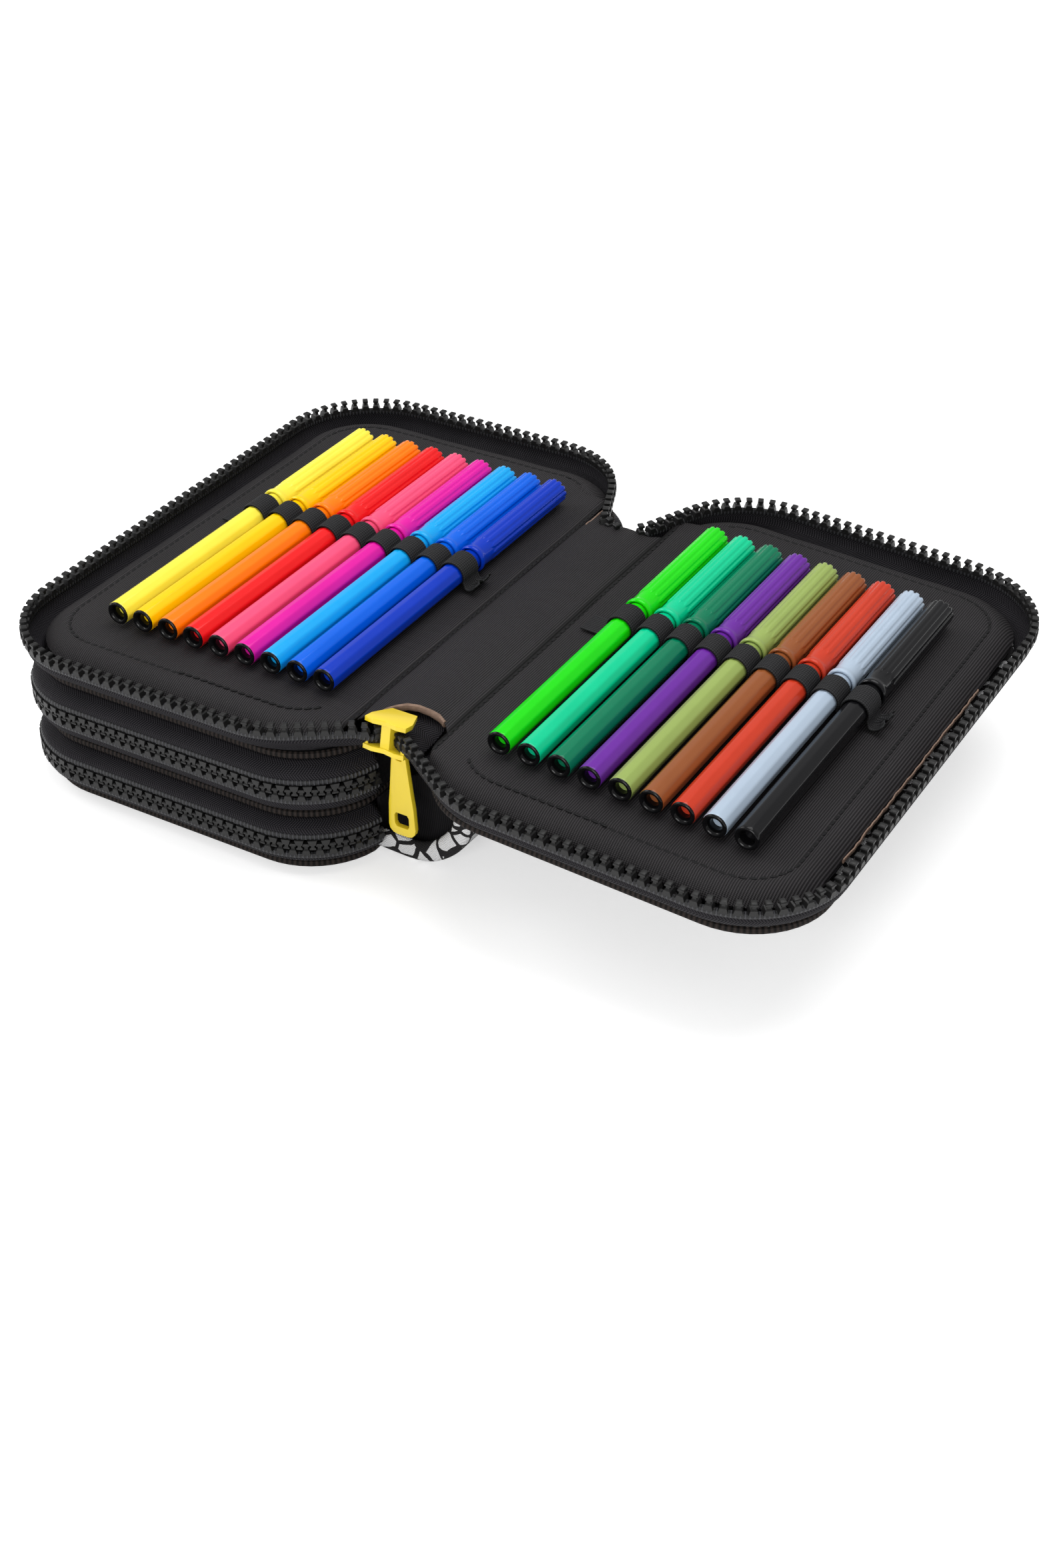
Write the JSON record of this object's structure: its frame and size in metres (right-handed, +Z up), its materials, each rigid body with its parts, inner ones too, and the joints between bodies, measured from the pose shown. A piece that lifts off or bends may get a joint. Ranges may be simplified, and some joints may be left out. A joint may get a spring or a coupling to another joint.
{
  "type": "pencil case",
  "caption": "Zip pencil case with stacked compartments, the top one lying open, with capped felt-tip pens in elastic loops on its lid and divider.",
  "frame": {"origin": "middle of the underside of the bottom cover", "axes": "+Z up; +X from the zip side across the spine to the open lid; +Y away from the near side where the open zip's slider hangs"},
  "size_m": [0.2881, 0.2094, 0.0623],
  "materials": {
    "cover_board": "padded board under grey woven cloth",
    "cover_cloth": "coarse woven cloth",
    "board_black": "board under black cloth",
    "lining_black": "fine ribbed lining",
    "tape_black": "herringbone tape with moulded satin teeth",
    "elastic_black": "woven elastic",
    "slider_yellow": "satin enamel",
    "pen_lemon_yellow": "glossy moulded plastic",
    "pen_golden_yellow": "glossy moulded plastic",
    "pen_orange": "glossy moulded plastic",
    "pen_red": "glossy moulded plastic",
    "pen_pink": "glossy moulded plastic",
    "pen_magenta": "glossy moulded plastic",
    "pen_sky_blue": "glossy moulded plastic",
    "pen_blue": "glossy moulded plastic",
    "pen_dark_blue": "glossy moulded plastic",
    "pen_bright_green": "glossy moulded plastic",
    "pen_mint_green": "glossy moulded plastic",
    "pen_dark_green": "glossy moulded plastic",
    "pen_purple": "glossy moulded plastic",
    "pen_olive_green": "glossy moulded plastic",
    "pen_brown": "glossy moulded plastic",
    "pen_rust_red": "glossy moulded plastic",
    "pen_pale_blue_grey": "glossy moulded plastic",
    "pen_black": "glossy moulded plastic"
  },
  "bodies": {
    "bottom_case": {"bottom_cover": "cover_board", "bottom_zip_lower": "tape_black", "spine_cover": "cover_cloth"},
    "bottom_spine_fold": {"bottom_spine": "lining_black"},
    "lower_leaf": {"lower_divider": "board_black", "bottom_zip_upper": "tape_black", "middle_zip_lower": "tape_black"},
    "middle_spine_fold": {"middle_spine": "lining_black"},
    "upper_leaf": {"upper_divider": "board_black", "middle_zip_upper": "tape_black", "top_zip_lower": "tape_black"},
    "top_spine_fold": {"top_spine": "lining_black"},
    "lid": {"lid_cover": "cover_cloth", "top_zip_lid": "tape_black"},
    "divider_panel": {"divider_lining": "lining_black", "divider_loops": "elastic_black"},
    "lid_panel": {"lid_lining": "lining_black", "lid_loops": "elastic_black"},
    "top_slider_body": {"top_slider": "slider_yellow"},
    "top_tab_body": {"top_pull_tab": "slider_yellow"},
    "middle_slider_body": {"middle_slider": "slider_yellow"},
    "middle_tab_body": {"middle_pull_tab": "slider_yellow"},
    "bottom_slider_body": {"bottom_slider": "slider_yellow"},
    "bottom_tab_body": {"bottom_pull_tab": "slider_yellow"},
    "barrel_lemon_yellow_body": {"barrel_lemon_yellow": "pen_lemon_yellow"},
    "cap_lemon_yellow_body": {"cap_lemon_yellow": "pen_lemon_yellow"},
    "barrel_golden_yellow_body": {"barrel_golden_yellow": "pen_golden_yellow"},
    "cap_golden_yellow_body": {"cap_golden_yellow": "pen_golden_yellow"},
    "barrel_orange_body": {"barrel_orange": "pen_orange"},
    "cap_orange_body": {"cap_orange": "pen_orange"},
    "barrel_red_body": {"barrel_red": "pen_red"},
    "cap_red_body": {"cap_red": "pen_red"},
    "barrel_pink_body": {"barrel_pink": "pen_pink"},
    "cap_pink_body": {"cap_pink": "pen_pink"},
    "barrel_magenta_body": {"barrel_magenta": "pen_magenta"},
    "cap_magenta_body": {"cap_magenta": "pen_magenta"},
    "barrel_sky_blue_body": {"barrel_sky_blue": "pen_sky_blue"},
    "cap_sky_blue_body": {"cap_sky_blue": "pen_sky_blue"},
    "barrel_blue_body": {"barrel_blue": "pen_blue"},
    "cap_blue_body": {"cap_blue": "pen_blue"},
    "barrel_dark_blue_body": {"barrel_dark_blue": "pen_dark_blue"},
    "cap_dark_blue_body": {"cap_dark_blue": "pen_dark_blue"},
    "barrel_bright_green_body": {"barrel_bright_green": "pen_bright_green"},
    "cap_bright_green_body": {"cap_bright_green": "pen_bright_green"},
    "barrel_mint_green_body": {"barrel_mint_green": "pen_mint_green"},
    "cap_mint_green_body": {"cap_mint_green": "pen_mint_green"},
    "barrel_dark_green_body": {"barrel_dark_green": "pen_dark_green"},
    "cap_dark_green_body": {"cap_dark_green": "pen_dark_green"},
    "barrel_purple_body": {"barrel_purple": "pen_purple"},
    "cap_purple_body": {"cap_purple": "pen_purple"},
    "barrel_olive_green_body": {"barrel_olive_green": "pen_olive_green"},
    "cap_olive_green_body": {"cap_olive_green": "pen_olive_green"},
    "barrel_brown_body": {"barrel_brown": "pen_brown"},
    "cap_brown_body": {"cap_brown": "pen_brown"},
    "barrel_rust_red_body": {"barrel_rust_red": "pen_rust_red"},
    "cap_rust_red_body": {"cap_rust_red": "pen_rust_red"},
    "barrel_pale_blue_grey_body": {"barrel_pale_blue_grey": "pen_pale_blue_grey"},
    "cap_pale_blue_grey_body": {"cap_pale_blue_grey": "pen_pale_blue_grey"},
    "barrel_black_body": {"barrel_black": "pen_black"},
    "cap_black_body": {"cap_black": "pen_black"}
  },
  "joints": [
    {"name": "lid_fold", "type": "hinge", "parent": "top_spine_fold", "child": "lid", "pos_m": [0.088, 0, 0.042], "axis": [0, -1, 0], "range_deg": [0, 93.3], "deforming": ["spine_cover", "top_spine"]},
    {"name": "middle_compartment_opens", "type": "hinge", "parent": "lower_leaf", "child": "middle_spine_fold", "pos_m": [0.0625, 0, 0.0202], "axis": [0, 1, 0], "range_deg": [0, 85]},
    {"name": "bottom_compartment_opens", "type": "hinge", "parent": "bottom_case", "child": "bottom_spine_fold", "pos_m": [0.0625, 0, 0.0012], "axis": [0, 1, 0], "range_deg": [0, 85]},
    {"name": "top_slider_runs", "type": "slide", "parent": "upper_leaf", "child": "top_slider_body", "axis": [0, 1, 0], "range_m": [-0.012, 0]},
    {"name": "top_tab_swings", "type": "hinge", "parent": "top_slider_body", "child": "top_tab_body", "pos_m": [0.07525, -0.0772, 0.04505], "axis": [1, 0, 0], "range_deg": [-90, 8]},
    {"name": "middle_slider_runs", "type": "slide", "parent": "lower_leaf", "child": "middle_slider_body", "axis": [-1, 0, 0], "range_m": [0, 0.054]},
    {"name": "middle_tab_swings", "type": "hinge", "parent": "middle_slider_body", "child": "middle_tab_body", "pos_m": [0.0282, 0.10375, 0.0311], "axis": [0, 0, -1], "range_deg": [0, 170]},
    {"name": "bottom_slider_runs", "type": "slide", "parent": "bottom_case", "child": "bottom_slider_body", "axis": [-1, 0, 0], "range_m": [0, 0.054]},
    {"name": "bottom_tab_swings", "type": "hinge", "parent": "bottom_slider_body", "child": "bottom_tab_body", "pos_m": [0.0282, 0.10375, 0.0107], "axis": [0, 0, -1], "range_deg": [0, 170]},
    {"name": "lower_leaf_fold", "type": "hinge", "parent": "bottom_spine_fold", "child": "lower_leaf", "pos_m": [0.0625, 0, 0.0202], "axis": [0, 1, 0], "range_deg": [0, 12.75]},
    {"name": "upper_leaf_fold", "type": "hinge", "parent": "middle_spine_fold", "child": "upper_leaf", "pos_m": [0.0625, 0, 0.042], "axis": [0, 1, 0], "range_deg": [0, 12.75]},
    {"name": "top_spine_fold", "type": "hinge", "parent": "upper_leaf", "child": "top_spine_fold", "pos_m": [0.0625, 0, 0.042], "axis": [0, -1, 0], "range_deg": [0, 90]},
    {"name": "divider_padding", "type": "slide", "parent": "upper_leaf", "child": "divider_panel", "axis": [0, 0, -1], "range_m": [0, 0.0071]},
    {"name": "lid_padding", "type": "slide", "parent": "lid", "child": "lid_panel", "axis": [-0.0576, 0, -0.9983], "range_m": [0, 0.0071]},
    {"name": "barrel_lemon_yellow_slides", "type": "slide", "parent": "divider_panel", "child": "barrel_lemon_yellow_body", "axis": [0, -1, 0], "range_m": [-0.026, 0.002]},
    {"name": "cap_lemon_yellow_pulls", "type": "slide", "parent": "barrel_lemon_yellow_body", "child": "cap_lemon_yellow_body", "axis": [0, 1, 0], "range_m": [0, 0.026]},
    {"name": "barrel_golden_yellow_slides", "type": "slide", "parent": "divider_panel", "child": "barrel_golden_yellow_body", "axis": [0, -1, 0], "range_m": [-0.026, 0.002]},
    {"name": "cap_golden_yellow_pulls", "type": "slide", "parent": "barrel_golden_yellow_body", "child": "cap_golden_yellow_body", "axis": [0, 1, 0], "range_m": [0, 0.026]},
    {"name": "barrel_orange_slides", "type": "slide", "parent": "divider_panel", "child": "barrel_orange_body", "axis": [0, -1, 0], "range_m": [-0.026, 0.002]},
    {"name": "cap_orange_pulls", "type": "slide", "parent": "barrel_orange_body", "child": "cap_orange_body", "axis": [0, 1, 0], "range_m": [0, 0.026]},
    {"name": "barrel_red_slides", "type": "slide", "parent": "divider_panel", "child": "barrel_red_body", "axis": [0, -1, 0], "range_m": [-0.026, 0.002]},
    {"name": "cap_red_pulls", "type": "slide", "parent": "barrel_red_body", "child": "cap_red_body", "axis": [0, 1, 0], "range_m": [0, 0.026]},
    {"name": "barrel_pink_slides", "type": "slide", "parent": "divider_panel", "child": "barrel_pink_body", "axis": [0, -1, 0], "range_m": [-0.026, 0.002]},
    {"name": "cap_pink_pulls", "type": "slide", "parent": "barrel_pink_body", "child": "cap_pink_body", "axis": [0, 1, 0], "range_m": [0, 0.026]},
    {"name": "barrel_magenta_slides", "type": "slide", "parent": "divider_panel", "child": "barrel_magenta_body", "axis": [0, -1, 0], "range_m": [-0.026, 0.002]},
    {"name": "cap_magenta_pulls", "type": "slide", "parent": "barrel_magenta_body", "child": "cap_magenta_body", "axis": [0, 1, 0], "range_m": [0, 0.026]},
    {"name": "barrel_sky_blue_slides", "type": "slide", "parent": "divider_panel", "child": "barrel_sky_blue_body", "axis": [0, -1, 0], "range_m": [-0.026, 0.002]},
    {"name": "cap_sky_blue_pulls", "type": "slide", "parent": "barrel_sky_blue_body", "child": "cap_sky_blue_body", "axis": [0, 1, 0], "range_m": [0, 0.026]},
    {"name": "barrel_blue_slides", "type": "slide", "parent": "divider_panel", "child": "barrel_blue_body", "axis": [0, -1, 0], "range_m": [-0.026, 0.002]},
    {"name": "cap_blue_pulls", "type": "slide", "parent": "barrel_blue_body", "child": "cap_blue_body", "axis": [0, 1, 0], "range_m": [0, 0.026]},
    {"name": "barrel_dark_blue_slides", "type": "slide", "parent": "divider_panel", "child": "barrel_dark_blue_body", "axis": [0, -1, 0], "range_m": [-0.026, 0.002]},
    {"name": "cap_dark_blue_pulls", "type": "slide", "parent": "barrel_dark_blue_body", "child": "cap_dark_blue_body", "axis": [0, 1, 0], "range_m": [0, 0.026]},
    {"name": "barrel_bright_green_slides", "type": "slide", "parent": "lid_panel", "child": "barrel_bright_green_body", "axis": [0, -1, 0], "range_m": [-0.026, 0.002]},
    {"name": "cap_bright_green_pulls", "type": "slide", "parent": "barrel_bright_green_body", "child": "cap_bright_green_body", "axis": [0, 1, 0], "range_m": [0, 0.026]},
    {"name": "barrel_mint_green_slides", "type": "slide", "parent": "lid_panel", "child": "barrel_mint_green_body", "axis": [0, -1, 0], "range_m": [-0.026, 0.002]},
    {"name": "cap_mint_green_pulls", "type": "slide", "parent": "barrel_mint_green_body", "child": "cap_mint_green_body", "axis": [0, 1, 0], "range_m": [0, 0.026]},
    {"name": "barrel_dark_green_slides", "type": "slide", "parent": "lid_panel", "child": "barrel_dark_green_body", "axis": [0, -1, 0], "range_m": [-0.026, 0.002]},
    {"name": "cap_dark_green_pulls", "type": "slide", "parent": "barrel_dark_green_body", "child": "cap_dark_green_body", "axis": [0, 1, 0], "range_m": [0, 0.026]},
    {"name": "barrel_purple_slides", "type": "slide", "parent": "lid_panel", "child": "barrel_purple_body", "axis": [0, -1, 0], "range_m": [-0.026, 0.002]},
    {"name": "cap_purple_pulls", "type": "slide", "parent": "barrel_purple_body", "child": "cap_purple_body", "axis": [0, 1, 0], "range_m": [0, 0.026]},
    {"name": "barrel_olive_green_slides", "type": "slide", "parent": "lid_panel", "child": "barrel_olive_green_body", "axis": [0, -1, 0], "range_m": [-0.026, 0.002]},
    {"name": "cap_olive_green_pulls", "type": "slide", "parent": "barrel_olive_green_body", "child": "cap_olive_green_body", "axis": [0, 1, 0], "range_m": [0, 0.026]},
    {"name": "barrel_brown_slides", "type": "slide", "parent": "lid_panel", "child": "barrel_brown_body", "axis": [0, -1, 0], "range_m": [-0.026, 0.002]},
    {"name": "cap_brown_pulls", "type": "slide", "parent": "barrel_brown_body", "child": "cap_brown_body", "axis": [0, 1, 0], "range_m": [0, 0.026]},
    {"name": "barrel_rust_red_slides", "type": "slide", "parent": "lid_panel", "child": "barrel_rust_red_body", "axis": [0, -1, 0], "range_m": [-0.026, 0.002]},
    {"name": "cap_rust_red_pulls", "type": "slide", "parent": "barrel_rust_red_body", "child": "cap_rust_red_body", "axis": [0, 1, 0], "range_m": [0, 0.026]},
    {"name": "barrel_pale_blue_grey_slides", "type": "slide", "parent": "lid_panel", "child": "barrel_pale_blue_grey_body", "axis": [0, -1, 0], "range_m": [-0.026, 0.002]},
    {"name": "cap_pale_blue_grey_pulls", "type": "slide", "parent": "barrel_pale_blue_grey_body", "child": "cap_pale_blue_grey_body", "axis": [0, 1, 0], "range_m": [0, 0.026]},
    {"name": "barrel_black_slides", "type": "slide", "parent": "lid_panel", "child": "barrel_black_body", "axis": [0, -1, 0], "range_m": [-0.026, 0.002]},
    {"name": "cap_black_pulls", "type": "slide", "parent": "barrel_black_body", "child": "cap_black_body", "axis": [0, 1, 0], "range_m": [0, 0.026]}
  ],
  "couplings": [
    {"joint": "top_spine_fold", "follows": "lid_fold", "ratio": 0.96463},
    {"joint": "divider_padding", "follows": "lid_fold", "m_per_rad": 0.00436},
    {"joint": "lid_padding", "follows": "lid_fold", "m_per_rad": 0.00436},
    {"joint": "lower_leaf_fold", "follows": "bottom_compartment_opens", "ratio": 0.15},
    {"joint": "upper_leaf_fold", "follows": "middle_compartment_opens", "ratio": 0.15}
  ]
}
